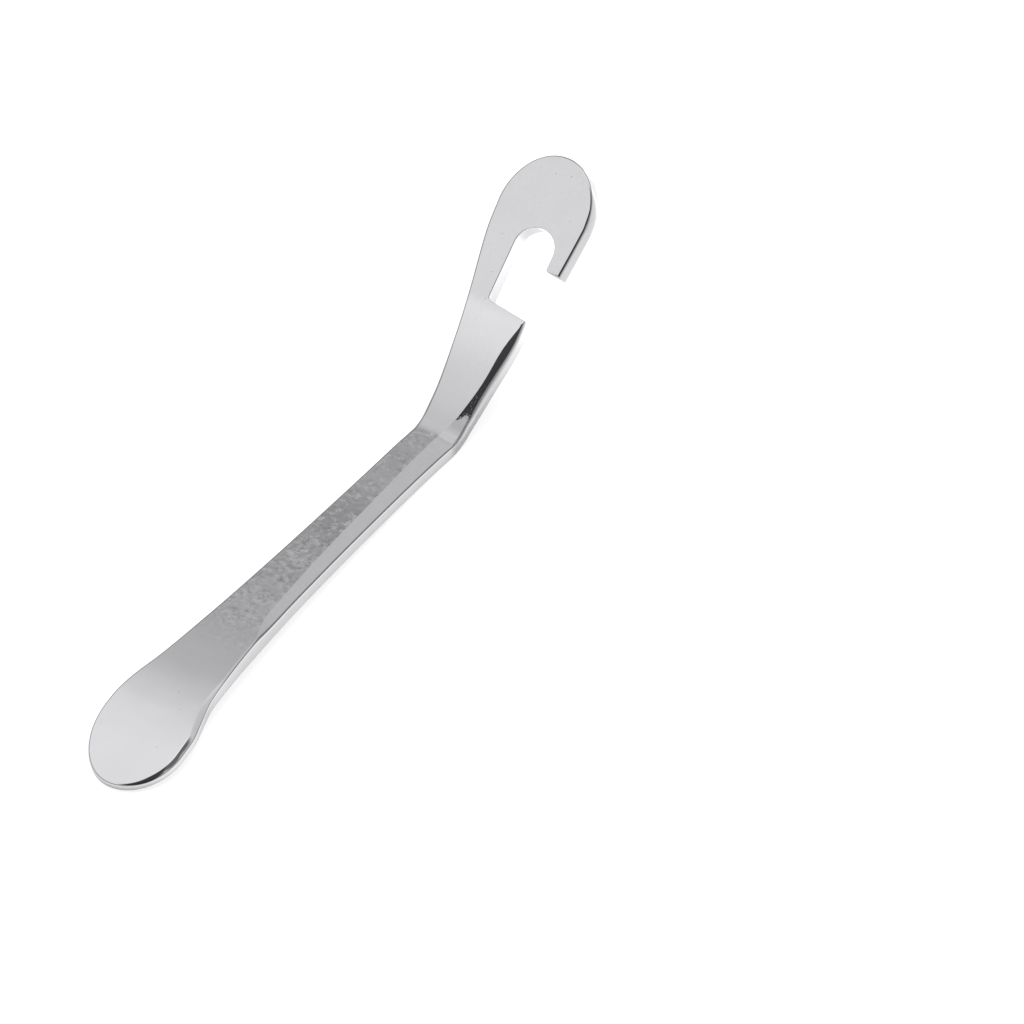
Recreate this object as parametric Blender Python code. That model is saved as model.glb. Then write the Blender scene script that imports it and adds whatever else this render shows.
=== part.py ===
"""Steel bicycle tyre lever: one forged bar, with a spoon at one end and a spoke hook at the other.

The lever is laid out flat as a plate, with s running along it from the spoon's tip, y to its left
and w up from its top face. The plate is then bent along s into its side profile: the spoon curls
down, the shank is straight and the hook section rises. The finished lever lies at rest on z = 0,
with +X from the spoon to the hook. Metres throughout.
"""

import math

import bmesh
import bpy
from mathutils import Matrix, Vector

NAME = "tyre_lever"

# Side profile, along s
THICKNESS = 0.0030
TIP_THICKNESS = 0.0015
TAPER_END = 0.030  # the spoon reaches the full thickness here
CURL_ANGLE = math.radians(22)  # slope of the spoon's tip against the shank
CURL_END = 0.032
BEND_ANGLE = math.radians(42)  # slope of the hook section against the shank
BEND_START = 0.0820
BEND_RADIUS = 0.0042  # of the top face, on the inside of the bend

# Outline, as (s, y): the spoon's tip is two quarter ellipses, the head is half an ellipse, and smooth
# edges run through these points between them
SPOON_LEFT = (0.0110, 0.00740)
SPOON_RIGHT = (0.0082, -0.00704)
LEFT_EDGE = [
    (0.0135, 0.00736),
    (0.0165, 0.00692),
    (0.0225, 0.00560),
    (0.0300, 0.00477),
    (0.0450, 0.00415),
    (0.0650, 0.00376),
    (0.0850, 0.00362),
    (0.0900, 0.00362),
    (0.0975, 0.00432),
    (0.1037, 0.00523),
    (0.1130, 0.00686),
]
RIGHT_EDGE = [
    (0.0115, -0.00694),
    (0.0145, -0.00626),
    (0.0180, -0.00542),
    (0.0230, -0.00498),
    (0.0300, -0.00442),
    (0.0420, -0.00367),
    (0.0600, -0.00314),
    (0.0810, -0.00308),
    (0.0900, -0.00400),
    (0.0985, -0.00500),
]
HOOK_SIDE_MIDDLE = (0.1140, -0.00724)
HEAD_CENTRE = (0.1180, -0.00016)
HEAD_HALF_WIDTH = 0.00734
HEAD_LENGTH = 0.00902  # from the head's centre to the end of the lever
EDGE_STEP = 0.0030

# Spoke slot, open on the right side of the hook section
SHOULDER_CORNER = (0.1028, -0.00504)
SLOT_CORNER = (0.1037, 0.00185)
SLOT_CORNER_RADIUS = 0.0007
SLOT_END_CENTRE = (0.1129, -0.00135)
SLOT_END_RADIUS = 0.00320
HOOK_TIP_INNER = (0.1106, -0.00455)
HOOK_TIP_RADIUS = 0.0004
HOOK_TIP_OUTER = (0.1104, -0.00695)

# Bevelled facet along the right edge of the top face: its slope, and its left edge as (s, y)
FACET_SLOPE = math.tan(math.radians(16))
CREASE = [
    (0.0300, -0.00440),
    (0.0350, -0.00262),
    (0.0420, -0.00192),
    (0.0500, -0.00137),
    (0.0600, -0.00098),
    (0.0826, -0.00050),
    (0.0862, -0.00170),
    (0.0920, -0.00300),
    (0.0980, -0.00365),
    (0.1028, -0.00490),
]

# Rounding of the rims
RIM_ROUNDING = 0.00045
LEFT_ROUNDING = [(0.078, RIM_ROUNDING), (0.085, 0.0008), (0.096, RIM_ROUNDING)]  # fuller at the bend
SLOT_ROUNDING = 0.00020
TOP_SEGMENTS = 3
UNDERSIDE_SEGMENTS = 2

# Ground bevel in the rounding of the spoon's top rim, on its right side, as (s, width) and (s, depth)
BEVEL_WIDTH = [(0.0, 0.0), (0.003, 0.00028), (0.009, 0.00036), (0.016, 0.00058), (0.022, 0.0)]
BEVEL_DEPTH = [(0.0, 0.0), (0.003, 0.00028), (0.009, 0.00036), (0.016, 0.00022), (0.022, 0.0)]
BEVEL_PLACE = math.radians(40)  # the slope that the rounding has reached where the bevel comes in

END_STEPS = 16  # segments in the half ellipse at each end
SLOT_STEPS = 14
CORNER_STEPS = 3
CURL_STEPS = 9
BEND_STEPS = 7
MERGE_DISTANCE = 0.000001  # cuts that meet leave twin vertices closer than this

STEEL_COLOR = (0.74, 0.74, 0.755, 1.0)
STEEL_ROUGHNESS = 0.16


def clear_scene():
    for obj in list(bpy.data.objects):
        bpy.data.objects.remove(obj, do_unlink=True)


def lerp(a, b, t):
    return a + (b - a) * t


def interpolate(knots, s):
    """The value at s between (s, value) knots, held before the first and after the last."""
    if s <= knots[0][0]:
        return knots[0][1]
    for (s0, value0), (s1, value1) in zip(knots, knots[1:]):
        if s < s1:
            return lerp(value0, value1, (s - s0) / (s1 - s0))
    return knots[-1][1]


def smooth_edge(knots, step):
    """Points about a step apart on the cubic curve through the knots, both end knots included."""
    slopes = []
    for i in range(len(knots)):
        before, after = knots[max(i - 1, 0)], knots[min(i + 1, len(knots) - 1)]
        slopes.append((after[1] - before[1]) / (after[0] - before[0]))
    points = []
    for (s0, y0), (s1, y1), m0, m1 in zip(knots, knots[1:], slopes, slopes[1:]):
        length = s1 - s0
        count = max(1, round(abs(length) / step))
        for k in range(count):
            t = k / count
            y = (
                (1 + 2 * t) * (1 - t) ** 2 * y0
                + t * (1 - t) ** 2 * length * m0
                + t * t * (3 - 2 * t) * y1
                + t * t * (t - 1) * length * m1
            )
            points.append((s0 + t * length, y))
    points.append(knots[-1])
    return points


def arc(centre, radius_s, radius_y, start, end, steps):
    """Points on an ellipse's arc, both ends included; the angles are in degrees."""
    points = []
    for k in range(steps + 1):
        angle = math.radians(lerp(start, end, k / steps))
        points.append((centre[0] + radius_s * math.cos(angle), centre[1] + radius_y * math.sin(angle)))
    return points


def fillet(before, corner, after, radius, steps):
    """Points that round off a corner between two straight edges."""
    to_before = (Vector(before) - Vector(corner)).normalized()
    to_after = (Vector(after) - Vector(corner)).normalized()
    half = to_before.angle(to_after) / 2
    centre = Vector(corner) + (to_before + to_after).normalized() * radius / math.sin(half)
    first = Vector(corner) + to_before * radius / math.tan(half) - centre
    last = Vector(corner) + to_after * radius / math.tan(half) - centre
    points = []
    for k in range(steps + 1):
        offset = first.lerp(last, k / steps).normalized() * radius
        points.append(tuple(centre + offset))
    return points


def spoke_slot():
    """The notch, from past the shoulder's corner round to the end of the hook's tip."""
    wall_end = (SLOT_END_CENTRE[0], SLOT_CORNER[1])
    corner = fillet(SHOULDER_CORNER, SLOT_CORNER, wall_end, SLOT_CORNER_RADIUS, CORNER_STEPS)
    end = arc(SLOT_END_CENTRE, SLOT_END_RADIUS, SLOT_END_RADIUS, 90, -90, SLOT_STEPS)
    tip = fillet(end[-1], HOOK_TIP_INNER, HOOK_TIP_OUTER, HOOK_TIP_RADIUS, CORNER_STEPS)
    return [*corner, *end, *tip]


def outline():
    """The flat plate's outline, anticlockwise from above, as (s, y, rounding of the top rim, bevelled)."""
    head_right = (HEAD_CENTRE[0], HEAD_CENTRE[1] - HEAD_HALF_WIDTH)
    head_left = (HEAD_CENTRE[0], HEAD_CENTRE[1] + HEAD_HALF_WIDTH)
    tip_left = arc((SPOON_LEFT[0], 0), SPOON_LEFT[0], SPOON_LEFT[1], 90, 180, END_STEPS // 2)
    tip_right = arc((SPOON_RIGHT[0], 0), SPOON_RIGHT[0], -SPOON_RIGHT[1], 180, 270, END_STEPS // 2)
    right = smooth_edge([SPOON_RIGHT, *RIGHT_EDGE, SHOULDER_CORNER], EDGE_STEP)
    hook_side = smooth_edge([HOOK_TIP_OUTER, HOOK_SIDE_MIDDLE, head_right], EDGE_STEP)
    head = arc(HEAD_CENTRE, HEAD_LENGTH, HEAD_HALF_WIDTH, -90, 90, END_STEPS)
    left = smooth_edge([head_left, *reversed(LEFT_EDGE), SPOON_LEFT], EDGE_STEP)
    points = [(s, y, RIM_ROUNDING, False) for s, y in tip_left[:-1]]
    points += [(s, y, RIM_ROUNDING, True) for s, y in [*tip_right[:-1], *right[:-1]]]
    points += [(s, y, SLOT_ROUNDING, False) for s, y in [SHOULDER_CORNER, *spoke_slot()]]
    points += [(s, y, RIM_ROUNDING, False) for s, y in [*hook_side[:-1], *head]]
    points += [(s, y, interpolate(LEFT_ROUNDING, s), False) for s, y in left[1:-1]]
    return points


def outward_offsets(points):
    """For each corner of a closed outline, the step that moves both its edges out by one unit."""
    offsets = []
    for before, point, after in zip([points[-1], *points], points, [*points[1:], points[0]]):
        normals = []
        for a, b in ((before, point), (point, after)):
            along = Vector((b[0] - a[0], b[1] - a[1])).normalized()
            normals.append(Vector((along.y, -along.x)))
        both = normals[0] + normals[1]
        offsets.append(both / (1 + normals[0].dot(normals[1])))
    return offsets


def thickness_at(s):
    return lerp(TIP_THICKNESS, THICKNESS, min(s / TAPER_END, 1.0))


def flat_plate():
    """The outline as a solid plate with rounded rims, its top face at w = 0."""
    points = outline()
    offsets = outward_offsets(points)
    bm = bmesh.new()
    rings = []
    for k in range(TOP_SEGMENTS + 1):
        angle = math.radians(90) * k / TOP_SEGMENTS
        ring = []
        for (s, y, radius, bevelled), offset in zip(points, offsets):
            inset = radius * (1 - math.sin(angle))
            depth = radius * (1 - math.cos(angle))
            if bevelled and angle < BEVEL_PLACE:
                inset += interpolate(BEVEL_WIDTH, s)
            elif bevelled:
                depth += interpolate(BEVEL_DEPTH, s)
            ring.append(bm.verts.new((s - offset.x * inset, y - offset.y * inset, -depth)))
        rings.append(ring)
    for k in range(UNDERSIDE_SEGMENTS + 1):
        angle = math.radians(90) * k / UNDERSIDE_SEGMENTS
        ring = []
        for (s, y, top_radius, _), offset in zip(points, offsets):
            radius = min(top_radius, RIM_ROUNDING)
            inset = offset * radius * (1 - math.cos(angle))
            depth = thickness_at(s - inset.x) - radius * (1 - math.sin(angle))
            ring.append(bm.verts.new((s - inset.x, y - inset.y, -depth)))
        rings.append(ring)
    count = len(points)
    for upper, lower in zip(rings, rings[1:]):
        for i in range(count):
            j = (i + 1) % count
            bm.faces.new((upper[i], lower[i], lower[j], upper[j]))
    bm.faces.new(rings[0])
    bm.faces.new(reversed(rings[-1]))
    return bm


def cut_across(bm, s):
    geometry = [*bm.verts, *bm.edges, *bm.faces]
    bmesh.ops.bisect_plane(bm, geom=geometry, plane_co=(s, 0, 0), plane_no=(1, 0, 0))


def cut_crease(bm, start, end):
    """Splits the top face along the straight crease from start to end."""
    faces = [
        face
        for face in bm.faces
        if face.normal.z > 0.999 and start[0] < face.calc_center_median().x < end[0]
    ]
    edges = {edge for face in faces for edge in face.edges}
    verts = {vert for face in faces for vert in face.verts}
    normal = (start[1] - end[1], end[0] - start[0], 0)
    bmesh.ops.bisect_plane(bm, geom=[*verts, *edges, *faces], plane_co=(*start, 0), plane_no=normal)


def lower_facet(bm):
    """Slopes the top face down to the right of the crease, along with its rounded rim."""
    for vert in bm.verts:
        s, y, w = vert.co
        below = interpolate(CREASE, s) - y
        if CREASE[0][0] < s < CREASE[-1][0] and w > -THICKNESS / 2 and below > 0:
            vert.co.z -= FACET_SLOPE * below


def bend_length():
    return BEND_RADIUS * BEND_ANGLE


def top_point(s):
    """(x, z, slope) of the bent top face at s, with the shank level at z = 0."""
    if s < CURL_END:
        slope = CURL_ANGLE * (1 - s / CURL_END)
        # the slope changes evenly along s, so the curl is a circular arc
        radius = CURL_END / CURL_ANGLE
        return CURL_END - radius * math.sin(slope), -radius * (1 - math.cos(slope)), slope
    if s < BEND_START:
        return s, 0.0, 0.0
    slope = min((s - BEND_START) / BEND_RADIUS, BEND_ANGLE)
    x = BEND_START + BEND_RADIUS * math.sin(slope)
    z = BEND_RADIUS * (1 - math.cos(slope))
    beyond = max(s - BEND_START - bend_length(), 0.0)
    return x + beyond * math.cos(slope), z + beyond * math.sin(slope), slope


def bend(bm):
    for vert in bm.verts:
        s, y, w = vert.co
        x, z, slope = top_point(s)
        vert.co = (x - w * math.sin(slope), y, z + w * math.cos(slope))


def settle(bm):
    """Tips the lever until the spoon's underside and the bend both touch z = 0, then centres it."""
    middle = (CURL_END + BEND_START) / 2
    for _ in range(6):
        front = min((v.co for v in bm.verts if v.co.x < middle), key=lambda co: co.z)
        back = min((v.co for v in bm.verts if v.co.x >= middle), key=lambda co: co.z)
        angle = math.atan2(back.z - front.z, back.x - front.x)
        bmesh.ops.rotate(bm, verts=bm.verts, cent=front, matrix=Matrix.Rotation(angle, 3, "Y"))
    lowest = min(v.co.z for v in bm.verts)
    along = [v.co.x for v in bm.verts]
    across = [v.co.y for v in bm.verts]
    centre = ((min(along) + max(along)) / 2, (min(across) + max(across)) / 2, lowest)
    bmesh.ops.translate(bm, verts=bm.verts, vec=-Vector(centre))


def chromed_steel():
    material = bpy.data.materials.new("chromed_steel")
    material.use_nodes = True
    shader = material.node_tree.nodes["Principled BSDF"]
    shader.inputs["Base Color"].default_value = STEEL_COLOR
    shader.inputs["Metallic"].default_value = 1.0
    shader.inputs["Roughness"].default_value = STEEL_ROUGHNESS
    return material


def tyre_lever():
    bm = flat_plate()
    for k in range(1, CURL_STEPS + 1):
        cut_across(bm, CURL_END * k / CURL_STEPS)
    for k in range(BEND_STEPS + 1):
        cut_across(bm, BEND_START + bend_length() * k / BEND_STEPS)
    for s, _ in [(TAPER_END, 0), *CREASE[1:]]:
        cut_across(bm, s)
    for start, end in zip(CREASE, CREASE[1:]):
        cut_crease(bm, start, end)
    bmesh.ops.remove_doubles(bm, verts=bm.verts, dist=MERGE_DISTANCE)
    lower_facet(bm)
    bend(bm)
    settle(bm)
    bmesh.ops.recalc_face_normals(bm, faces=bm.faces)
    mesh = bpy.data.meshes.new(NAME)
    bm.to_mesh(mesh)
    bm.free()
    mesh.shade_smooth()
    mesh.set_sharp_from_angle(angle=math.radians(25))
    mesh.materials.append(chromed_steel())
    lever = bpy.data.objects.new(NAME, mesh)
    bpy.context.scene.collection.objects.link(lever)
    return lever


clear_scene()
tyre_lever()
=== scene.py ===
"""Looks for the tyre lever: a finely stepped mesh of the lever, chrome, a pale floor and soft light.

The lever is laid out flat as a plate, with s running along it from the spoon's tip, y to its left
and w up from its top face. The plate is then bent along s into its side profile and set into the
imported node's box. Lengths are in metres, and the chrome works in millimetres on the flat plate.
"""

import math

import bmesh
import bpy
from mathutils import Matrix, Vector


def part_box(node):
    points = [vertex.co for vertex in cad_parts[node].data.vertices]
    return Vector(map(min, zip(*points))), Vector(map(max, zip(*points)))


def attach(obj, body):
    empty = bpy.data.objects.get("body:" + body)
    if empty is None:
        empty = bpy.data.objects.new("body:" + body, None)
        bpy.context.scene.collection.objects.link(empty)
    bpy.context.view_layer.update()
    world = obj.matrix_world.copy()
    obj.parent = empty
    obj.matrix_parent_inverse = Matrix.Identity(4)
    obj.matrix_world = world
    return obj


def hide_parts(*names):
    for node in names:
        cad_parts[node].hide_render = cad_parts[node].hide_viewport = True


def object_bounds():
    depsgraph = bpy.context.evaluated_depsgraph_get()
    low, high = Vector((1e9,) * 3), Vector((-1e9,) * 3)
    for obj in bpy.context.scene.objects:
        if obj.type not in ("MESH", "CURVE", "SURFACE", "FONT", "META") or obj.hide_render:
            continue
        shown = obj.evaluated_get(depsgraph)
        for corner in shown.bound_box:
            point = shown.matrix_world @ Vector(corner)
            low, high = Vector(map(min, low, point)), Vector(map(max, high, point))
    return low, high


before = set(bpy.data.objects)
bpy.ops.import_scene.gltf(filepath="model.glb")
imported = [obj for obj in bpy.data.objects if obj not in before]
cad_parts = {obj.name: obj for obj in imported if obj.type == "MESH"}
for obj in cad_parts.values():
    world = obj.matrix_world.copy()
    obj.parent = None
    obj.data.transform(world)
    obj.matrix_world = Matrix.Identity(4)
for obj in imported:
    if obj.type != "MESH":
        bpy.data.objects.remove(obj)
CAD_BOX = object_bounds()

NODE = "tyre_lever"
PIECE = "chromed_lever"
SLOT_NAME = "chromed_steel"

MILLIMETRES = 1000  # in a metre

# Side profile, along s
THICKNESS = 0.0030
TIP_THICKNESS = 0.0015
TAPER_END = 0.030  # the spoon reaches the full thickness here
CURL_ANGLE = math.radians(22)  # slope of the spoon's tip against the shank
CURL_END = 0.032
BEND_ANGLE = math.radians(42)  # slope of the hook section against the shank
BEND_START = 0.0820
BEND_RADIUS = 0.0042  # of the top face, on the inside of the bend
FOLD = 0.0826  # where the shank's flat, pitted panel ends, just past the start of the bend

# Outline, as (s, y): the spoon's tip is two quarter ellipses, the head is half an ellipse, and smooth
# edges run through these points between them
SPOON_LEFT = (0.0110, 0.00740)
SPOON_RIGHT = (0.0082, -0.00704)
LEFT_EDGE = [
    (0.0135, 0.00736),
    (0.0165, 0.00692),
    (0.0225, 0.00560),
    (0.0300, 0.00477),
    (0.0450, 0.00415),
    (0.0650, 0.00376),
    (0.0850, 0.00362),
    (0.0900, 0.00362),
    (0.0975, 0.00432),
    (0.1037, 0.00523),
    (0.1130, 0.00686),
]
RIGHT_EDGE = [
    (0.0115, -0.00694),
    (0.0145, -0.00626),
    (0.0180, -0.00542),
    (0.0230, -0.00498),
    (0.0300, -0.00442),
    (0.0420, -0.00367),
    (0.0600, -0.00314),
    (0.0810, -0.00308),
    (0.0900, -0.00400),
    (0.0985, -0.00500),
]
HOOK_SIDE_MIDDLE = (0.1140, -0.00724)
HEAD_CENTRE = (0.1180, -0.00016)
HEAD_HALF_WIDTH = 0.00734
HEAD_LENGTH = 0.00902  # from the head's centre to the end of the lever
EDGE_STEP = 0.0006

# Spoke slot, open on the right side of the hook section
SHOULDER_CORNER = (0.1028, -0.00504)
SLOT_CORNER = (0.1037, 0.00185)
SLOT_CORNER_RADIUS = 0.0007
SLOT_END_CENTRE = (0.1129, -0.00135)
SLOT_END_RADIUS = 0.00320
HOOK_TIP_INNER = (0.1106, -0.00455)
HOOK_TIP_RADIUS = 0.0004
HOOK_TIP_OUTER = (0.1104, -0.00695)

# Bevelled facet along the right edge of the top face: its slope, and its left edge as (s, y)
FACET_SLOPE = math.tan(math.radians(16))
CREASE = [
    (0.0300, -0.00440),
    (0.0350, -0.00262),
    (0.0420, -0.00192),
    (0.0500, -0.00137),
    (0.0600, -0.00098),
    (0.0826, -0.00050),
    (0.0862, -0.00170),
    (0.0920, -0.00300),
    (0.0980, -0.00365),
    (0.1028, -0.00490),
]

# Radius of the rims' rounding, as (s, radius) along the sides and as (y, radius) round the head
RIM_ROUNDING = 0.00045
LEFT_ROUNDING = [(0.078, RIM_ROUNDING), (0.085, 0.0008), (0.096, RIM_ROUNDING)]
RIGHT_ROUNDING = [
    (0.086, RIM_ROUNDING),
    (0.089, 0.0009),
    (0.094, 0.00085),
    (0.100, 0.0005),
    (0.1028, RIM_ROUNDING),
]
HEAD_ROUNDING = [(-0.0074, RIM_ROUNDING), (-0.0070, 0.00028), (-0.0035, 0.00028), (0, RIM_ROUNDING)]
SLOT_ROUNDING = 0.00010
TOP_SEGMENTS = 8
UNDERSIDE_SEGMENTS = 5

# Ground bevel in the rounding of the spoon's top rim, on its right side, as (s, width) and (s, depth)
BEVEL_WIDTH = [(0.0, 0.0), (0.003, 0.00028), (0.009, 0.00036), (0.016, 0.00058), (0.022, 0.0)]
BEVEL_DEPTH = [(0.0, 0.0), (0.003, 0.00028), (0.009, 0.00036), (0.016, 0.00022), (0.022, 0.0)]
BEVEL_PLACE = math.radians(40)  # the slope that the rounding has reached where the bevel comes in

# Fineness of the mesh
END_STEPS = 144  # segments in the half ellipse at each end
SLOT_STEPS = 48
CORNER_STEPS = 10
CURL_STEPS = 40
BEND_STEPS = 24
CREASE_STEP = 0.0012
MERGE_DISTANCE = 0.000001  # cuts that meet leave twin vertices closer than this
SETTLE_ROUNDS = 6  # tipping the lever changes which points are lowest, so it takes a few rounds
FLAT_NORMAL = 0.999  # a face is on the flat top if its normal's height is above this
SHARP_ANGLE = math.radians(35)

# Chrome. Its places are in millimetres on the flat plate and its noise scales are per millimetre.

# Brightness of the plating, as (s, level), with painted shade past the fold, and how much of it the pitted
# panel keeps
POLISH_AND_PAINTED_SHADE = [
    (0, 0.90),
    (82.0, 0.92),
    # painted shade: darker just past the fold, easing off toward the head, for how the bent hook section
    # reflects
    (82.6, 0.78),
    (83.2, 0.67),
    (84.5, 0.69),
    (88, 0.73),
    (93, 0.79),
    (98, 0.90),
    (102, 0.96),
    (104, 0.86),
    (127, 0.84),
]
PANEL_POLISH = [
    (0, 1.0),
    (38, 1.0),
    (46, 0.90),
    (52, 0.86),
    (57, 0.77),
    (61, 0.76),
    (66, 0.86),
    (70, 0.96),
    (75, 0.88),
    (79, 0.98),
    (82, 0.92),
]
CHROME_BLUE = 1.014  # blue against red and green

# Noise, as (scale, detail, roughness, offset)
PEEL = (1.25, 4.0, 0.62, 0.0)
PEEL_PATCHES = (0.42, 2.0, 0.5, 5.0)
FLECKS = (0.95, 3.0, 0.6, 11.0)
FLECK_CLUMPS = (0.30, 1.0, 0.5, 3.0)
FINE_GRAIN = (5.5, 2.0, 0.5, 7.0)
WAVES = (0.22, 1.0, 0.4, 17.0)
PITS = (1.9, 1.0, 0.5, 23.0)
RAGGED = (1.5, 4.0, 0.7, 31.0)

# Where a mark comes in or goes out, as (low, high), or as (low, high, level at low, level at high)

# By noise value
PEEL_BY_PATCH = (0.36, 0.62, 0.4, 1.3)
FLECKS_BY_NOISE = (0.53, 0.60)
FLECKS_BY_CLUMP = (0.40, 0.50)
PITS_BY_NOISE = (0.79, 0.82)
SPECKS_BY_NOISE = (0.62, 0.70)
# By place, or by whether a face is on the panel
PEEL_IN = (24.0, 38.0)
PEEL_OUT = (46.0, 64.0, 1.0, 0.6)
PEEL_BY_PANEL = (0.0, 1.0, 0.1, 1.0)
FLECKS_IN = (43.0, 50.0)
WEAR_IN = (82.3, 83.3)
WEAR_BY_DEPTH = (-1.6, -1.35)
FACE_WEAR_OUT = (84.0, 91.0, 0.45, 0.0)
SPECKS_OUT = (88.0, 98.0, 1.0, 0.0)
# painted shade in a line along the facet just past the fold
FOLD_SHADE_IN = (82.1, 82.6)
FOLD_SHADE_OUT = (83.0, 83.6, 1.0, 0.0)

# The facet's left edge past the bend runs to the right by FACET_SPREAD for each step along s
FACET_START = 83.0
FACET_SPREAD = 0.33
FACET_EDGE = (-0.60, -0.40, 1.0, 0.0)
# The solid wear on the facet, which is also painted brighter as a sheen, ends at a ragged line, at a slant
# across it
RAGGED_DEPTH = 3.2
RAGGED_SLANT = 0.7
RAGGED_LINE = (84.6, 85.3, 1.0, 0.0)
# A bright nick lies at a slant across the left of the fold
NICK_START = 82.1
NICK_SLANT = 0.25
NICK_WIDTH = (0.12, 0.32, 1.0, 0.0)
NICK_REACH = (0.8, 2.0)

# What each mark adds to the plating: to its brightness, as a share of it, to its roughness, and to its
# height, in HEIGHT_UNIT
BRIGHTNESS = {
    "waves": 0.06,
    "mottle": 1.5,
    "flecks": 0.62,
    # painted sheen: the worn facet past the bend is brightened where the real crease blends into the bend
    "facet_wear_and_sheen": 0.28,
    # painted shade along the fold
    "fold_shade": -0.10,
    "nick": 0.35,
    "pits": -0.30,
}
PLAIN_ROUGHNESS = 0.05
ROUGHNESS = {"grain": 0.05, "peel_amount": 0.08, "flecks": 0.15, "facet_wear_and_sheen": 0.40, "face_wear": 0.40}
HEIGHT = {"peel": 8.0, "flecks": 1.5, "pits": -1.5, "waves": 4.0, "grain": 0.05}
HEIGHT_UNIT = 0.000006  # metres
WEAR_LEAN = 0.22  # how far the worn facet's normals lean to the left

# Floor, which glows a little, as a light table does, so that the lever casts next to no shadow
FLOOR_RADIUS = 4.0
FLOOR_SEGMENTS = 64
FLOOR_GAP = 0.00002
FLOOR_ALBEDO = 0.35
FLOOR_GLOW_SEEN = 0.80
# Its glow as the lever reflects it, as (distance to either side of the lever's middle line, level); the
# dim glow close to the middle line is a painted shadow of the lever, seen only in its reflections
FLOOR_GLOW = [
    (0.0, 0.27),
    (0.006, 0.27),
    (0.0095, 0.46),
    (0.0125, 0.54),
    (0.016, 0.36),
    (0.030, 0.22),
    (0.060, 0.15),
]
UNDER_HOOK_GLOW = 0.28  # more of it under the hook, from the first x to the second
UNDER_HOOK_IN = (0.045, 0.055)
UNDER_HOOK_SIDES = (0.013, 0.017, 1.0, 0.0)

# Brightness of the studio tent, as (x, level) from behind the spoon (-1) to beyond the hook (1)
TENT = [
    (-1.0, 0.76),
    (0.18, 0.79),
    (0.30, 0.73),
    (0.40, 0.59),
    (0.48, 0.48),
    (0.60, 0.43),
    (0.70, 0.385),
    (1.0, 0.30),
]
TENT_BLUE = 1.015
SIDE_GLOW = (0.0, 0.40, 0.12, 0.0)  # what the tent gains by y: low y, high y, gain at low, gain at high
HORIZON = (0.30, 0.60, 0.35, 1.0)  # and what it keeps by the sine of the elevation, in the same order
# Dark round patches of the tent, as (direction, outer and inner edge in degrees, level)
DARK_PATCHES = [((-0.55, -0.42, 0.72), 41, 26, 0.055), ((0.06, -0.68, 0.73), 26, 15, 0.15)]

# Softbox overhead, in metres and watts
SOFTBOX_HEIGHT = 1.1
SOFTBOX_SIZE = 1.2
SOFTBOX_POWER = 14.0

# Camera: the angle it looks from, against the lever's own axes
CAMERA_AZIMUTH = math.radians(-57.25)
CAMERA_ELEVATION = math.radians(42.64)
CAMERA_DISTANCE = 1.0
CAMERA_TARGET = (0.01739, -0.01641, 0.00015)
CAMERA_LENS = 247.0


def lerp(a, b, t):
    return a + (b - a) * t


def interpolate(knots, s):
    """The value at s between (s, value) knots, held before the first and after the last."""
    if s <= knots[0][0]:
        return knots[0][1]
    for (s0, value0), (s1, value1) in zip(knots, knots[1:]):
        if s < s1:
            return lerp(value0, value1, (s - s0) / (s1 - s0))
    return knots[-1][1]


def smooth_edge(knots, step):
    """Points about a step apart on the cubic curve through the knots, both end knots included."""
    slopes = []
    for i in range(len(knots)):
        before, after = knots[max(i - 1, 0)], knots[min(i + 1, len(knots) - 1)]
        slopes.append((after[1] - before[1]) / (after[0] - before[0]))
    points = []
    for (s0, y0), (s1, y1), m0, m1 in zip(knots, knots[1:], slopes, slopes[1:]):
        length = s1 - s0
        count = max(1, round(abs(length) / step))
        for k in range(count):
            t = k / count
            y = (
                (1 + 2 * t) * (1 - t) ** 2 * y0
                + t * (1 - t) ** 2 * length * m0
                + t * t * (3 - 2 * t) * y1
                + t * t * (t - 1) * length * m1
            )
            points.append((s0 + t * length, y))
    points.append(knots[-1])
    return points


def arc(centre, radius_s, radius_y, start, end, steps):
    """Points on an ellipse's arc, both ends included; the angles are in degrees."""
    points = []
    for k in range(steps + 1):
        angle = math.radians(lerp(start, end, k / steps))
        points.append((centre[0] + radius_s * math.cos(angle), centre[1] + radius_y * math.sin(angle)))
    return points


def fillet(before, corner, after, radius, steps):
    """Points that round off a corner between two straight edges."""
    to_before = (Vector(before) - Vector(corner)).normalized()
    to_after = (Vector(after) - Vector(corner)).normalized()
    half = to_before.angle(to_after) / 2
    centre = Vector(corner) + (to_before + to_after).normalized() * radius / math.sin(half)
    first = Vector(corner) + to_before * radius / math.tan(half) - centre
    last = Vector(corner) + to_after * radius / math.tan(half) - centre
    points = []
    for k in range(steps + 1):
        offset = first.lerp(last, k / steps).normalized() * radius
        points.append(tuple(centre + offset))
    return points


def spoke_slot():
    """The notch, from past the shoulder's corner round to the end of the hook's tip."""
    wall_end = (SLOT_END_CENTRE[0], SLOT_CORNER[1])
    corner = fillet(SHOULDER_CORNER, SLOT_CORNER, wall_end, SLOT_CORNER_RADIUS, CORNER_STEPS)
    end = arc(SLOT_END_CENTRE, SLOT_END_RADIUS, SLOT_END_RADIUS, 90, -90, SLOT_STEPS)
    tip = fillet(end[-1], HOOK_TIP_INNER, HOOK_TIP_OUTER, HOOK_TIP_RADIUS, CORNER_STEPS)
    return [*corner, *end, *tip]


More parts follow.
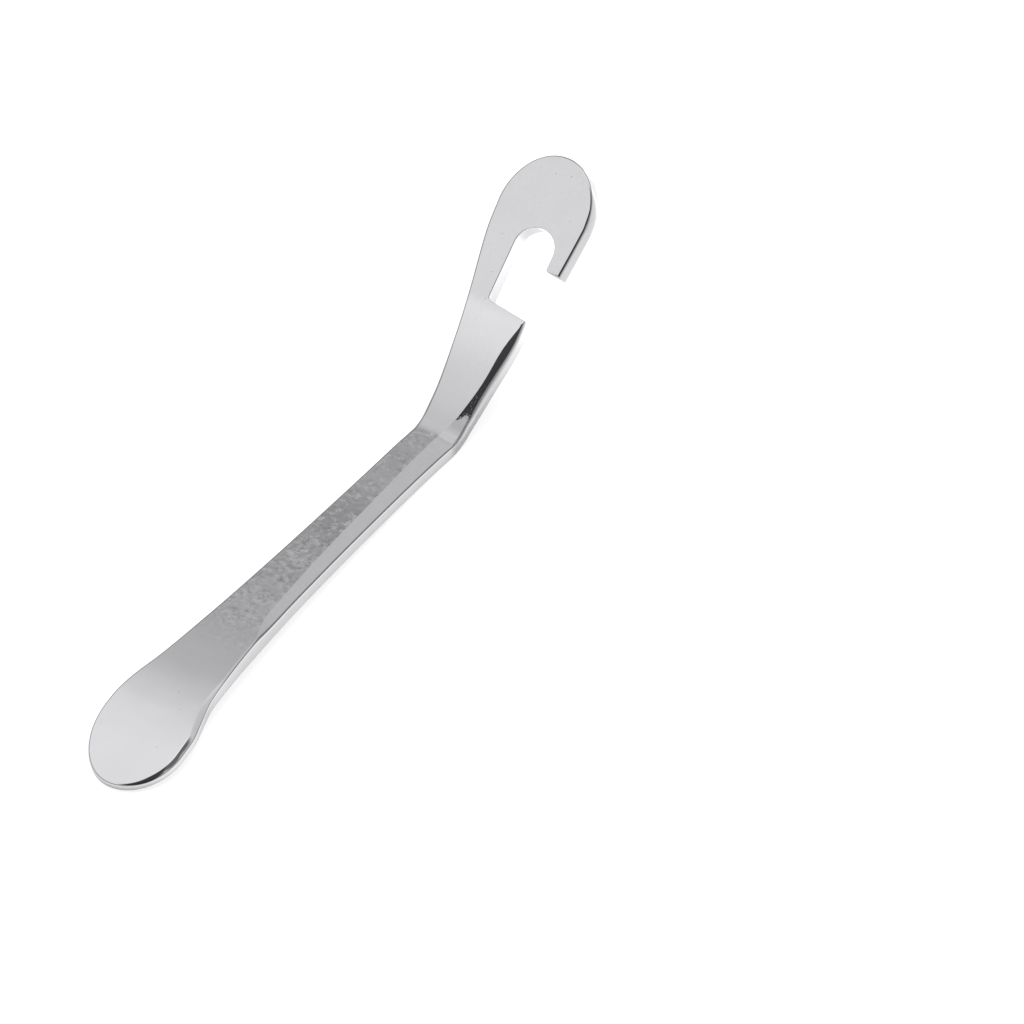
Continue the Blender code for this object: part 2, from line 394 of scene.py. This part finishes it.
def outline():
    """The flat plate's outline, anticlockwise from above, as (s, y, rounding of the top rim, bevelled)."""
    head_right = (HEAD_CENTRE[0], HEAD_CENTRE[1] - HEAD_HALF_WIDTH)
    head_left = (HEAD_CENTRE[0], HEAD_CENTRE[1] + HEAD_HALF_WIDTH)
    tip_left = arc((SPOON_LEFT[0], 0), SPOON_LEFT[0], SPOON_LEFT[1], 90, 180, END_STEPS // 2)
    tip_right = arc((SPOON_RIGHT[0], 0), SPOON_RIGHT[0], -SPOON_RIGHT[1], 180, 270, END_STEPS // 2)
    right = smooth_edge([SPOON_RIGHT, *RIGHT_EDGE, SHOULDER_CORNER], EDGE_STEP)
    hook_side = smooth_edge([HOOK_TIP_OUTER, HOOK_SIDE_MIDDLE, head_right], EDGE_STEP)
    head = arc(HEAD_CENTRE, HEAD_LENGTH, HEAD_HALF_WIDTH, -90, 90, END_STEPS)
    left = smooth_edge([head_left, *reversed(LEFT_EDGE), SPOON_LEFT], EDGE_STEP)
    points = [(s, y, RIM_ROUNDING, False) for s, y in tip_left[:-1]]
    points += [(s, y, interpolate(RIGHT_ROUNDING, s), True) for s, y in [*tip_right[:-1], *right[:-1]]]
    points += [(s, y, SLOT_ROUNDING, False) for s, y in [SHOULDER_CORNER, *spoke_slot()]]
    points += [(s, y, RIM_ROUNDING, False) for s, y in hook_side[:-1]]
    points += [(s, y, interpolate(HEAD_ROUNDING, y), False) for s, y in head]
    points += [(s, y, interpolate(LEFT_ROUNDING, s), False) for s, y in left[1:-1]]
    return points


def outward_offsets(points):
    """For each corner of a closed outline, the step that moves both its edges out by one unit."""
    offsets = []
    for before, point, after in zip([points[-1], *points], points, [*points[1:], points[0]]):
        normals = []
        for a, b in ((before, point), (point, after)):
            along = Vector((b[0] - a[0], b[1] - a[1])).normalized()
            normals.append(Vector((along.y, -along.x)))
        both = normals[0] + normals[1]
        offsets.append(both / (1 + normals[0].dot(normals[1])))
    return offsets


def thickness_at(s):
    return lerp(TIP_THICKNESS, THICKNESS, min(s / TAPER_END, 1.0))


def quarter_turn(steps):
    return [math.radians(90) * k / steps for k in range(steps + 1)]


def top_ring(bm, points, offsets, angle):
    """Points round the plate where the rounding of its top rim has reached this slope."""
    ring = []
    for (s, y, radius, bevelled), offset in zip(points, offsets):
        inset = radius * (1 - math.sin(angle))
        depth = radius * (1 - math.cos(angle))
        if bevelled and angle < BEVEL_PLACE:
            inset += interpolate(BEVEL_WIDTH, s)
        elif bevelled:
            depth += interpolate(BEVEL_DEPTH, s)
        ring.append(bm.verts.new((s - offset.x * inset, y - offset.y * inset, -depth)))
    return ring


def underside_ring(bm, points, offsets, angle):
    """Points round the plate where its lower rim has turned this far from the wall."""
    ring = []
    for (s, y, top_radius, _), offset in zip(points, offsets):
        radius = min(top_radius, RIM_ROUNDING)
        inset = offset * radius * (1 - math.cos(angle))
        depth = thickness_at(s - inset.x) - radius * (1 - math.sin(angle))
        ring.append(bm.verts.new((s - inset.x, y - inset.y, -depth)))
    return ring


def flat_plate():
    """The outline as a solid plate with rounded rims, its top face at w = 0."""
    points = outline()
    offsets = outward_offsets(points)
    bm = bmesh.new()
    rings = [top_ring(bm, points, offsets, angle) for angle in quarter_turn(TOP_SEGMENTS)]
    rings += [underside_ring(bm, points, offsets, angle) for angle in quarter_turn(UNDERSIDE_SEGMENTS)]
    count = len(points)
    for upper, lower in zip(rings, rings[1:]):
        for i in range(count):
            j = (i + 1) % count
            bm.faces.new((upper[i], lower[i], lower[j], upper[j]))
    cap = bm.faces.layers.int.new("cap")
    for ring in (rings[0], reversed(rings[-1])):
        bm.faces.new(ring)[cap] = 1
    bm.normal_update()
    return bm


def split(bm, faces, place, normal):
    """Cuts only these faces, where the plane through a place crosses them."""
    edges = {edge for face in faces for edge in face.edges}
    verts = {vert for face in faces for vert in face.verts}
    bmesh.ops.bisect_plane(bm, geom=[*verts, *edges, *faces], plane_co=place, plane_no=normal)


def cut_across(bm, s):
    """Splits the top face and the underside at s, and leaves the rims and walls whole."""
    cap = bm.faces.layers.int["cap"]
    split(bm, [face for face in bm.faces if face[cap]], (s, 0, 0), (1, 0, 0))


def on_flat_top(face):
    return face.normal.z > FLAT_NORMAL


def cut_crease(bm, start, end):
    """Splits the top face along the straight crease from start to end."""
    faces = [
        face
        for face in bm.faces
        if on_flat_top(face) and start[0] < face.calc_center_median().x < end[0]
    ]
    split(bm, faces, (*start, 0), (start[1] - end[1], end[0] - start[0], 0))


def is_facet(face, crease):
    middle = face.calc_center_median()
    return crease[0][0] < middle.x < crease[-1][0] and middle.y < interpolate(crease, middle.x)


def sharpen_crease(bm, crease):
    """Makes the edges between the facet and the rest of the top face sharp."""
    for edge in bm.edges:
        if all(on_flat_top(face) for face in edge.link_faces):
            sides = {is_facet(face, crease) for face in edge.link_faces}
            if len(sides) == 2:
                edge.smooth = False


def mark_panel(bm, crease):
    """Marks the faces of the shank's flat panel, left of the crease and up to the bend's fold."""
    panel = bm.faces.layers.float.new("panel")
    for face in bm.faces:
        middle = face.calc_center_median()
        if on_flat_top(face) and middle.x < FOLD and middle.y > interpolate(crease, middle.x):
            face[panel] = 1.0


def lower_facet(bm, crease):
    """Slopes the top face down to the right of the crease, along with its rounded rim."""
    for vert in bm.verts:
        s, y, w = vert.co
        below = interpolate(crease, s) - y
        if crease[0][0] < s < crease[-1][0] and w > -THICKNESS / 2 and below > 0:
            vert.co.z -= FACET_SLOPE * below


def bend_length():
    return BEND_RADIUS * BEND_ANGLE


def top_point(s):
    """(x, z, slope) of the bent top face at s, with the shank level at z = 0."""
    if s < CURL_END:
        slope = CURL_ANGLE * (1 - s / CURL_END)
        # the slope changes evenly along s, so the curl is a circular arc
        radius = CURL_END / CURL_ANGLE
        return CURL_END - radius * math.sin(slope), -radius * (1 - math.cos(slope)), slope
    if s < BEND_START:
        return s, 0.0, 0.0
    slope = min((s - BEND_START) / BEND_RADIUS, BEND_ANGLE)
    x = BEND_START + BEND_RADIUS * math.sin(slope)
    z = BEND_RADIUS * (1 - math.cos(slope))
    beyond = max(s - BEND_START - bend_length(), 0.0)
    return x + beyond * math.cos(slope), z + beyond * math.sin(slope), slope


def bend(bm):
    """Bends the plate, keeping each point's flat place in millimetres for the material."""
    flat = bm.verts.layers.float_vector.new("plate")
    for vert in bm.verts:
        s, y, w = vert.co
        vert[flat] = vert.co * MILLIMETRES
        x, z, slope = top_point(s)
        vert.co = (x - w * math.sin(slope), y, z + w * math.cos(slope))


def settle(bm):
    """Tips the lever until the spoon's underside and the bend both rest, then fills the CAD node's box."""
    middle = (CURL_END + BEND_START) / 2
    for _ in range(SETTLE_ROUNDS):
        front = min((v.co for v in bm.verts if v.co.x < middle), key=lambda co: co.z)
        back = min((v.co for v in bm.verts if v.co.x >= middle), key=lambda co: co.z)
        angle = math.atan2(back.z - front.z, back.x - front.x)
        bmesh.ops.rotate(bm, verts=bm.verts, cent=front, matrix=Matrix.Rotation(angle, 3, "Y"))
    low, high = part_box(NODE)
    lowest = min(v.co.z for v in bm.verts)
    along = [v.co.x for v in bm.verts]
    across = [v.co.y for v in bm.verts]
    centre = Vector(((min(along) + max(along)) / 2, (min(across) + max(across)) / 2, lowest))
    place = Vector(((low.x + high.x) / 2, (low.y + high.y) / 2, low.z))
    bmesh.ops.translate(bm, verts=bm.verts, vec=place - centre)


def lever_mesh():
    bm = flat_plate()
    crease = smooth_edge(CREASE, CREASE_STEP)
    for k in range(1, CURL_STEPS + 1):
        cut_across(bm, CURL_END * k / CURL_STEPS)
    for k in range(BEND_STEPS + 1):
        cut_across(bm, BEND_START + bend_length() * k / BEND_STEPS)
    crease_places = [s for s, _ in crease[1:]]
    for s in [TAPER_END, FOLD, *crease_places]:
        cut_across(bm, s)
    for start, end in zip(crease, crease[1:]):
        cut_crease(bm, start, end)
    bmesh.ops.remove_doubles(bm, verts=bm.verts, dist=MERGE_DISTANCE)
    sharpen_crease(bm, crease)
    mark_panel(bm, crease)
    lower_facet(bm, crease)
    bend(bm)
    settle(bm)
    bmesh.ops.recalc_face_normals(bm, faces=bm.faces)
    for face in bm.faces:
        face.smooth = True
    for edge in bm.edges:
        if edge.calc_face_angle(0) > SHARP_ANGLE:
            edge.smooth = False
    mesh = bpy.data.meshes.new(PIECE)
    bm.to_mesh(mesh)
    bm.free()
    return mesh


def add_node(tree, kind, inputs=None, **settings):
    """A new node; an input is either a value or another node's output socket."""
    node = tree.nodes.new(kind)
    for name, value in settings.items():
        setattr(node, name, value)
    for name, value in (inputs or {}).items():
        if isinstance(value, bpy.types.NodeSocket):
            tree.links.new(value, node.inputs[name])
        else:
            node.inputs[name].default_value = value
    return node


def calc(tree, operation, *values):
    """The output of a Math node."""
    node = add_node(tree, "ShaderNodeMath", dict(enumerate(values)), operation=operation)
    return node.outputs[0]


def vector_calc(tree, operation, *values):
    """The outputs of a Vector Math node: Vector, and Value for a dot product."""
    node = add_node(tree, "ShaderNodeVectorMath", dict(enumerate(values)), operation=operation)
    return node.outputs


def multiply(tree, first, *others):
    for other in others:
        first = calc(tree, "MULTIPLY", first, other)
    return first


def centred(tree, value):
    """A noise value moved from around 0.5 to around 0."""
    return calc(tree, "SUBTRACT", value, 0.5)


def ramp(tree, value, low, high, to_low=0.0, to_high=1.0):
    """Eases value from to_low at low to to_high at high."""
    inputs = {"Value": value, "From Min": low, "From Max": high, "To Min": to_low, "To Max": to_high}
    node = add_node(tree, "ShaderNodeMapRange", inputs, interpolation_type="SMOOTHSTEP")
    return node.outputs["Result"]


def noise(tree, vector, scale, detail, roughness, offset):
    """A noise texture's value; the offset keeps two patterns from lining up."""
    moved = vector_calc(tree, "ADD", vector, (offset, offset, offset))["Vector"]
    inputs = {"Vector": moved, "Scale": scale, "Detail": detail, "Roughness": roughness}
    return add_node(tree, "ShaderNodeTexNoise", inputs).outputs["Fac"]


def bands(tree, value, stops):
    """The level at value between (place, level) stops, as a colour ramp's output."""
    low, high = stops[0][0], stops[-1][0]
    place = calc(tree, "DIVIDE", calc(tree, "SUBTRACT", value, low), high - low)
    node = add_node(tree, "ShaderNodeValToRGB", {"Fac": place})
    elements = node.color_ramp.elements
    while len(elements) < len(stops):
        elements.new(1.0)
    for element, (at, level) in zip(elements, stops):
        element.position = (at - low) / (high - low)
        element.color = (level, level, level, 1.0)
    return node.outputs["Color"]


def panel_marks(tree, plate, s, panel):
    """Orange peel over the shank's flat panel, in patches, and lighter flecks in clumps."""
    peel = noise(tree, plate, *PEEL)
    patches = ramp(tree, noise(tree, plate, *PEEL_PATCHES), *PEEL_BY_PATCH)
    along = multiply(tree, ramp(tree, s, *PEEL_IN), ramp(tree, s, *PEEL_OUT))
    amount = multiply(tree, along, patches, ramp(tree, panel, *PEEL_BY_PANEL))
    flecks = ramp(tree, noise(tree, plate, *FLECKS), *FLECKS_BY_NOISE)
    clumps = ramp(tree, noise(tree, plate, *FLECK_CLUMPS), *FLECKS_BY_CLUMP)
    return {
        "peel": multiply(tree, peel, amount),
        "peel_amount": amount,
        "mottle": multiply(tree, centred(tree, peel), amount),
        "flecks": multiply(tree, flecks, clumps, panel, ramp(tree, s, *FLECKS_IN)),
    }


def bend_marks(tree, plate, s, y, w, panel, grain):
    """Wear past the bend, which fades out on the face and ends ragged on the facet, where a painted sheen
    brightens it, a painted shade along the fold, and a nick.
    """
    across = calc(tree, "MULTIPLY_ADD", calc(tree, "SUBTRACT", s, FACET_START), FACET_SPREAD, y)
    facet = ramp(tree, across, *FACET_EDGE)
    face = calc(tree, "SUBTRACT", 1.0, facet)
    jagged = centred(tree, noise(tree, plate, *RAGGED))
    ragged = calc(tree, "MULTIPLY_ADD", jagged, RAGGED_DEPTH, s)
    ragged = calc(tree, "MULTIPLY_ADD", y, RAGGED_SLANT, ragged)
    specks = multiply(tree, ramp(tree, grain, *SPECKS_BY_NOISE), ramp(tree, s, *SPECKS_OUT))
    # worn specks and solid wear on the facet, which the colour also brightens as a painted sheen
    facet_wear_and_sheen = calc(tree, "MAXIMUM", specks, ramp(tree, ragged, *RAGGED_LINE))
    start = multiply(tree, ramp(tree, s, *WEAR_IN), ramp(tree, w, *WEAR_BY_DEPTH))
    # painted shade in a line on the facet, just past the fold
    fold_shade = multiply(tree, ramp(tree, s, *FOLD_SHADE_IN), ramp(tree, s, *FOLD_SHADE_OUT))
    nick = calc(tree, "MULTIPLY_ADD", y, NICK_SLANT, calc(tree, "SUBTRACT", s, NICK_START))
    nick = ramp(tree, calc(tree, "ABSOLUTE", nick), *NICK_WIDTH)
    return {
        "facet_wear_and_sheen": multiply(tree, facet_wear_and_sheen, facet, start),
        "face_wear": multiply(tree, face, ramp(tree, s, *FACE_WEAR_OUT), start),
        "fold_shade": multiply(tree, fold_shade, facet),
        "nick": multiply(tree, nick, ramp(tree, y, *NICK_REACH), panel),
    }


def add_marks(tree, base, marks, amounts):
    """The base plus each mark times its amount."""
    for name, amount in amounts.items():
        base = calc(tree, "MULTIPLY_ADD", marks[name], amount, base)
    return base


def marked_normal(tree, marks):
    """The surface's normal, leaning where the facet is worn and with the marks' height as bump."""
    lean = add_node(tree, "ShaderNodeCombineXYZ", {1: multiply(tree, marks["facet_wear_and_sheen"], WEAR_LEAN)})
    normal = add_node(tree, "ShaderNodeNewGeometry").outputs["Normal"]
    normal = vector_calc(tree, "ADD", normal, lean.outputs[0])["Vector"]
    normal = vector_calc(tree, "NORMALIZE", normal)["Vector"]
    height = add_marks(tree, 0.0, marks, HEIGHT)
    inputs = {"Strength": 1.0, "Distance": HEIGHT_UNIT, "Height": height, "Normal": normal}
    return add_node(tree, "ShaderNodeBump", inputs).outputs[0]


def marked_color(tree, marks, s, panel):
    """The plating's colour, from its polish with painted shade past the fold, and its marks, with a
    painted sheen on the worn facet.
    """
    kept_by_panel = ramp(tree, panel, 0.0, 1.0, 1.0, bands(tree, s, PANEL_POLISH))
    # the plating's level along s holds painted shade past the fold
    level = multiply(tree, bands(tree, s, POLISH_AND_PAINTED_SHADE), kept_by_panel)
    for name, amount in BRIGHTNESS.items():
        level = multiply(tree, level, calc(tree, "MULTIPLY_ADD", marks[name], amount, 1.0))
    blue = multiply(tree, level, CHROME_BLUE)
    return add_node(tree, "ShaderNodeCombineColor", {0: level, 1: level, 2: blue}).outputs[0]


def chrome_material():
    """Polished chrome with orange peel, flecks, pits and waves, wear past the bend with a painted sheen on
    the facet, and painted shade at the fold.
    """
    material = bpy.data.materials.new(SLOT_NAME)
    material.use_nodes = True
    tree = material.node_tree
    plate = add_node(tree, "ShaderNodeAttribute", attribute_name="plate").outputs["Vector"]
    s, y, w = add_node(tree, "ShaderNodeSeparateXYZ", {0: plate}).outputs
    panel = add_node(tree, "ShaderNodeAttribute", attribute_name="panel").outputs["Fac"]
    grain = noise(tree, plate, *FINE_GRAIN)
    marks = {
        "grain": grain,
        "waves": centred(tree, noise(tree, plate, *WAVES)),
        "pits": ramp(tree, noise(tree, plate, *PITS), *PITS_BY_NOISE),
        **panel_marks(tree, plate, s, panel),
        **bend_marks(tree, plate, s, y, w, panel, grain),
    }
    shader = tree.nodes["Principled BSDF"]
    shader.inputs["Metallic"].default_value = 1.0
    tree.links.new(marked_color(tree, marks, s, panel), shader.inputs["Base Color"])
    tree.links.new(add_marks(tree, PLAIN_ROUGHNESS, marks, ROUGHNESS), shader.inputs["Roughness"])
    tree.links.new(marked_normal(tree, marks), shader.inputs["Normal"])
    return material


def make_lever():
    lever = bpy.data.objects.new(PIECE, lever_mesh())
    bpy.context.scene.collection.objects.link(lever)
    lever.data.materials.append(chrome_material())
    normals = lever.modifiers.new("weighted_normals", "WEIGHTED_NORMAL")
    normals.mode = "FACE_AREA"
    normals.keep_sharp = True
    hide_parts(NODE)
    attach(lever, "root")


def make_camera():
    flat = math.cos(CAMERA_ELEVATION)
    right = math.sin(CAMERA_AZIMUTH) * flat
    back = -math.cos(CAMERA_AZIMUTH) * flat
    away = Vector((right, back, math.sin(CAMERA_ELEVATION)))
    data = bpy.data.cameras.new("camera")
    data.lens = CAMERA_LENS
    camera = bpy.data.objects.new("camera", data)
    bpy.context.scene.collection.objects.link(camera)
    camera.location = Vector(CAMERA_TARGET) + away * CAMERA_DISTANCE
    camera.rotation_euler = (-away).to_track_quat("-Z", "Y").to_euler()
    bpy.context.scene.camera = camera


def floor_material():
    """Glows evenly as the camera sees it, and in bands as the lever reflects it, dimmed near the lever as
    a painted shadow.
    """
    material = bpy.data.materials.new("floor")
    material.use_nodes = True
    tree = material.node_tree
    tree.nodes.clear()
    position = add_node(tree, "ShaderNodeNewGeometry").outputs["Position"]
    x, y, _ = add_node(tree, "ShaderNodeSeparateXYZ", {0: position}).outputs
    aside = calc(tree, "ABSOLUTE", y)
    under_hook = multiply(tree, ramp(tree, x, *UNDER_HOOK_IN), ramp(tree, aside, *UNDER_HOOK_SIDES))
    strength = calc(tree, "MULTIPLY_ADD", under_hook, UNDER_HOOK_GLOW, bands(tree, aside, FLOOR_GLOW))
    camera_ray = add_node(tree, "ShaderNodeLightPath").outputs["Is Camera Ray"]
    strength = calc(tree, "MAXIMUM", strength, multiply(tree, camera_ray, FLOOR_GLOW_SEEN))
    color = (FLOOR_ALBEDO, FLOOR_ALBEDO, FLOOR_ALBEDO, 1.0)
    diffuse = add_node(tree, "ShaderNodeBsdfDiffuse", {"Color": color})
    glow = add_node(tree, "ShaderNodeEmission", {"Strength": strength})
    both = add_node(tree, "ShaderNodeAddShader", {0: diffuse.outputs[0], 1: glow.outputs[0]})
    add_node(tree, "ShaderNodeOutputMaterial", {"Surface": both.outputs[0]})
    return material


def make_floor():
    bm = bmesh.new()
    bmesh.ops.create_circle(bm, cap_ends=True, segments=FLOOR_SEGMENTS, radius=FLOOR_RADIUS)
    mesh = bpy.data.meshes.new("floor")
    bm.to_mesh(mesh)
    bm.free()
    mesh.materials.append(floor_material())
    floor = bpy.data.objects.new("floor", mesh)
    floor.location.z = CAD_BOX[0].z - FLOOR_GAP
    bpy.context.scene.collection.objects.link(floor)


def dark_patch(tree, direction, centre, outer, inner, level):
    """1 in most of the tent, falling to the level between the patch's outer and inner edge."""
    towards = vector_calc(tree, "DOT_PRODUCT", direction, tuple(Vector(centre).normalized()))["Value"]
    return ramp(tree, towards, math.cos(math.radians(outer)), math.cos(math.radians(inner)), 1.0, level)


def make_world():
    """A studio tent that lights the lever, and plain white behind the floor for the camera."""
    world = bpy.data.worlds.new("studio")
    bpy.context.scene.world = world
    world.use_nodes = True
    tree = world.node_tree
    tree.nodes.clear()
    direction = add_node(tree, "ShaderNodeTexCoord").outputs["Generated"]
    x, y, z = add_node(tree, "ShaderNodeSeparateXYZ", {0: direction}).outputs
    level = calc(tree, "ADD", bands(tree, x, TENT), ramp(tree, y, *SIDE_GLOW))
    patches = [dark_patch(tree, direction, *patch) for patch in DARK_PATCHES]
    level = multiply(tree, level, ramp(tree, z, *HORIZON), calc(tree, "MINIMUM", *patches))
    tent = add_node(tree, "ShaderNodeBackground", {"Color": (1.0, 1.0, TENT_BLUE, 1.0), "Strength": level})
    white = add_node(tree, "ShaderNodeBackground", {"Color": (1.0, 1.0, 1.0, 1.0), "Strength": 1.0})
    camera_ray = add_node(tree, "ShaderNodeLightPath").outputs["Is Camera Ray"]
    inputs = {0: camera_ray, 1: tent.outputs[0], 2: white.outputs[0]}
    mixed = add_node(tree, "ShaderNodeMixShader", inputs)
    add_node(tree, "ShaderNodeOutputWorld", {"Surface": mixed.outputs[0]})


def make_light():
    data = bpy.data.lights.new("softbox", "AREA")
    data.shape = "DISK"
    data.size = SOFTBOX_SIZE
    data.energy = SOFTBOX_POWER
    softbox = bpy.data.objects.new("softbox", data)
    softbox.location.z = SOFTBOX_HEIGHT
    softbox.visible_glossy = False
    bpy.context.scene.collection.objects.link(softbox)


make_lever()
make_floor()
make_world()
make_light()
make_camera()
bpy.context.scene.view_settings.view_transform = "Standard"
bpy.context.view_layer.update()
